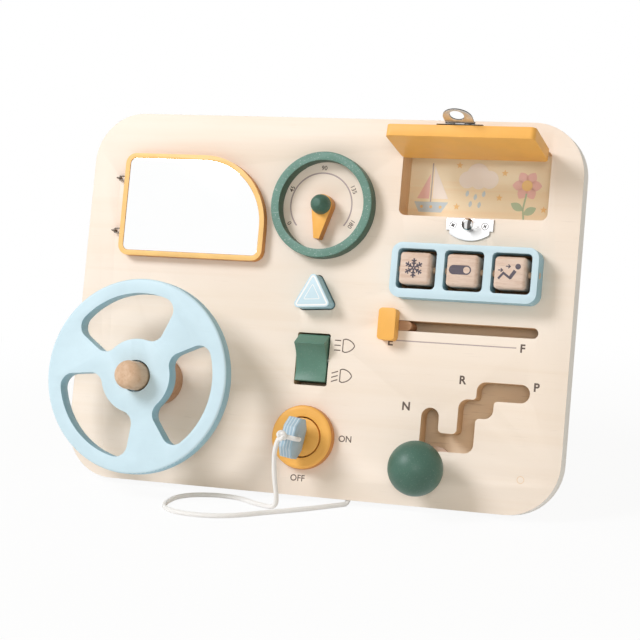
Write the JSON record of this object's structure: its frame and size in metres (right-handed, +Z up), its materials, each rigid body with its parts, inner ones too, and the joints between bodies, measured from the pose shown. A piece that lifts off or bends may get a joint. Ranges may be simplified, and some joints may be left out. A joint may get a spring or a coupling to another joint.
{
  "type": "wooden busy board",
  "caption": "Leaning wooden activity board with steering wheel, mirror door, dial, lidded box, turning cubes, push button, slider, rocker, gear gate and key switch",
  "frame": {"origin": "on the floor, under the middle of the bounding box of the board with its wheel and feet", "axes": "X across the board, left to right as seen from the front; Y from front to back; Z up. The board faces -Y and leans back 15 degrees"},
  "size_m": [0.4, 0.1997, 0.3008],
  "materials": {
    "pale_wood": "clear satin lacquer on pale beech plywood",
    "raw_wood": "bare sanded beech",
    "orange_wood": "satin orange-yellow paint on wood",
    "sage_wood": "satin grey-green paint on wood",
    "deep_sage_wood": "satin deep grey-green paint on wood",
    "sky_wood": "satin pale blue paint on wood",
    "key_wood": "satin grey-blue paint on wood",
    "steel": "bright nickel-plated steel",
    "mirror": "shatterproof acrylic mirror",
    "card": "printed picture card",
    "cord": "white round braided cord"
  },
  "bodies": {
    "board": {"front_panel": "pale_wood", "rear_frame": "raw_wood", "back_cover": "raw_wood", "cover_screws": "steel", "left_foot": "pale_wood", "right_foot": "pale_wood", "foot_screws": "steel", "panel_screws": "steel", "foot_plugs": "raw_wood", "hub_spacer": "raw_wood", "hub_peg": "raw_wood", "dial_ring": "sage_wood", "mirror_panel_eyes": "steel", "compartment_liner": "raw_wood", "compartment_card": "card", "panel_hinge_leaves": "steel", "lid_hinge_pins": "steel", "keeper_plate": "steel", "keeper_stud": "steel", "keeper_screws": "steel", "cube_frame": "sky_wood", "cube_axle": "raw_wood", "hazard_spring": "steel", "rocker_pin": "steel", "rocker_keepers": "raw_wood", "switch_ring": "orange_wood", "key_cord": "cord"},
    "wheel": {"steering_wheel": "sky_wood"},
    "dial_pointer": {"pointer": "orange_wood", "pointer_peg": "deep_sage_wood", "pointer_washer": "raw_wood"},
    "mirror_door": {"mirror_frame": "orange_wood", "mirror_plate": "mirror", "mirror_frame_loops": "steel"},
    "lid": {"lid_board": "orange_wood", "lid_hinge_leaves": "steel", "latch_plate": "steel", "hasp_pin": "steel"},
    "hasp_flap": {"hasp": "steel"},
    "cube_left": {"left_cube": "raw_wood"},
    "cube_middle": {"middle_cube": "raw_wood"},
    "cube_right": {"right_cube": "raw_wood"},
    "hazard": {"hazard_button": "sky_wood", "hazard_flange": "raw_wood"},
    "slider": {"slider_knob": "orange_wood", "slider_shoe": "raw_wood", "slider_keeper": "raw_wood", "slider_screw": "steel"},
    "rocker": {"headlamp_rocker": "deep_sage_wood"},
    "gear_lever": {"gear_ball": "deep_sage_wood", "gear_stem": "raw_wood", "gear_disc": "raw_wood"},
    "barrel": {"key_barrel": "orange_wood", "barrel_retainer": "raw_wood"},
    "cord_carrier": {"cord_knot": "cord", "cord_drop": "cord"},
    "turning_key": {"key": "key_wood", "key_loop": "cord"}
  },
  "joints": [
    {"name": "wheel_spin", "type": "hinge", "parent": "board", "child": "wheel", "pos_m": [-0.124, -0.06404, 0.09304], "axis": [0, -0.9659, 0.2588], "continuous": true},
    {"name": "pointer_spin", "type": "hinge", "parent": "board", "child": "dial_pointer", "pos_m": [0, 0.00879, 0.22188], "axis": [0, -0.9659, 0.2588], "continuous": true},
    {"name": "mirror_hinge", "type": "hinge", "parent": "board", "child": "mirror_door", "pos_m": [-0.17555, 0.00867, 0.21679], "axis": [0, -0.2588, -0.9659], "range_deg": [0, 120]},
    {"name": "lid_hinge", "type": "hinge", "parent": "board", "child": "lid", "pos_m": [0.11715, 0.02491, 0.2685], "axis": [1, 0, 0], "range_deg": [-40, 99.2]},
    {"name": "hasp_hinge", "type": "hinge", "parent": "lid", "child": "hasp_flap", "pos_m": [0.11655, -0.01917, 0.28875], "axis": [1, 0, 0], "range_deg": [-168, 12]},
    {"name": "left_cube_spin", "type": "hinge", "parent": "board", "child": "cube_left", "pos_m": [0.0822, -0.00711, 0.178], "axis": [1, 0, 0], "continuous": true},
    {"name": "middle_cube_spin", "type": "hinge", "parent": "board", "child": "cube_middle", "pos_m": [0.1186, -0.00711, 0.178], "axis": [1, 0, 0], "continuous": true},
    {"name": "right_cube_spin", "type": "hinge", "parent": "board", "child": "cube_right", "pos_m": [0.155, -0.00711, 0.178], "axis": [1, 0, 0], "continuous": true},
    {"name": "hazard_push", "type": "slide", "parent": "board", "child": "hazard", "axis": [0, 0.9659, -0.2588], "range_m": [0, 0.005], "stiffness_N_per_m": 60, "springref_m": -0.002, "deforming": ["hazard_spring"]},
    {"name": "slider_slide", "type": "slide", "parent": "board", "child": "slider", "axis": [1, 0, 0], "range_m": [0, 0.0975]},
    {"name": "rocker_tilt", "type": "hinge", "parent": "board", "child": "rocker", "pos_m": [0.0005, -0.0141, 0.10554], "axis": [1, 0, 0], "range_deg": [-32, 0]},
    {"name": "gear_slide", "type": "slide", "parent": "board", "child": "gear_lever", "axis": [0, 0.2588, 0.9659], "range_m": [0, 0.0395]},
    {"name": "key_pull", "type": "slide", "parent": "board", "child": "cord_carrier", "axis": [0, -0.9659, 0.2588], "range_m": [0, 0.016]},
    {"name": "key_turn", "type": "hinge", "parent": "cord_carrier", "child": "turning_key", "pos_m": [0, -0.0519, 0.05335], "axis": [0, -0.9659, 0.2588], "range_deg": [0, 90]},
    {"name": "barrel_turn", "type": "hinge", "parent": "board", "child": "barrel", "pos_m": [0, -0.03258, 0.04817], "axis": [0, -0.9659, 0.2588], "range_deg": [0, 90]}
  ],
  "couplings": [
    {"joint": "barrel_turn", "follows": "key_turn", "ratio": 1}
  ]
}
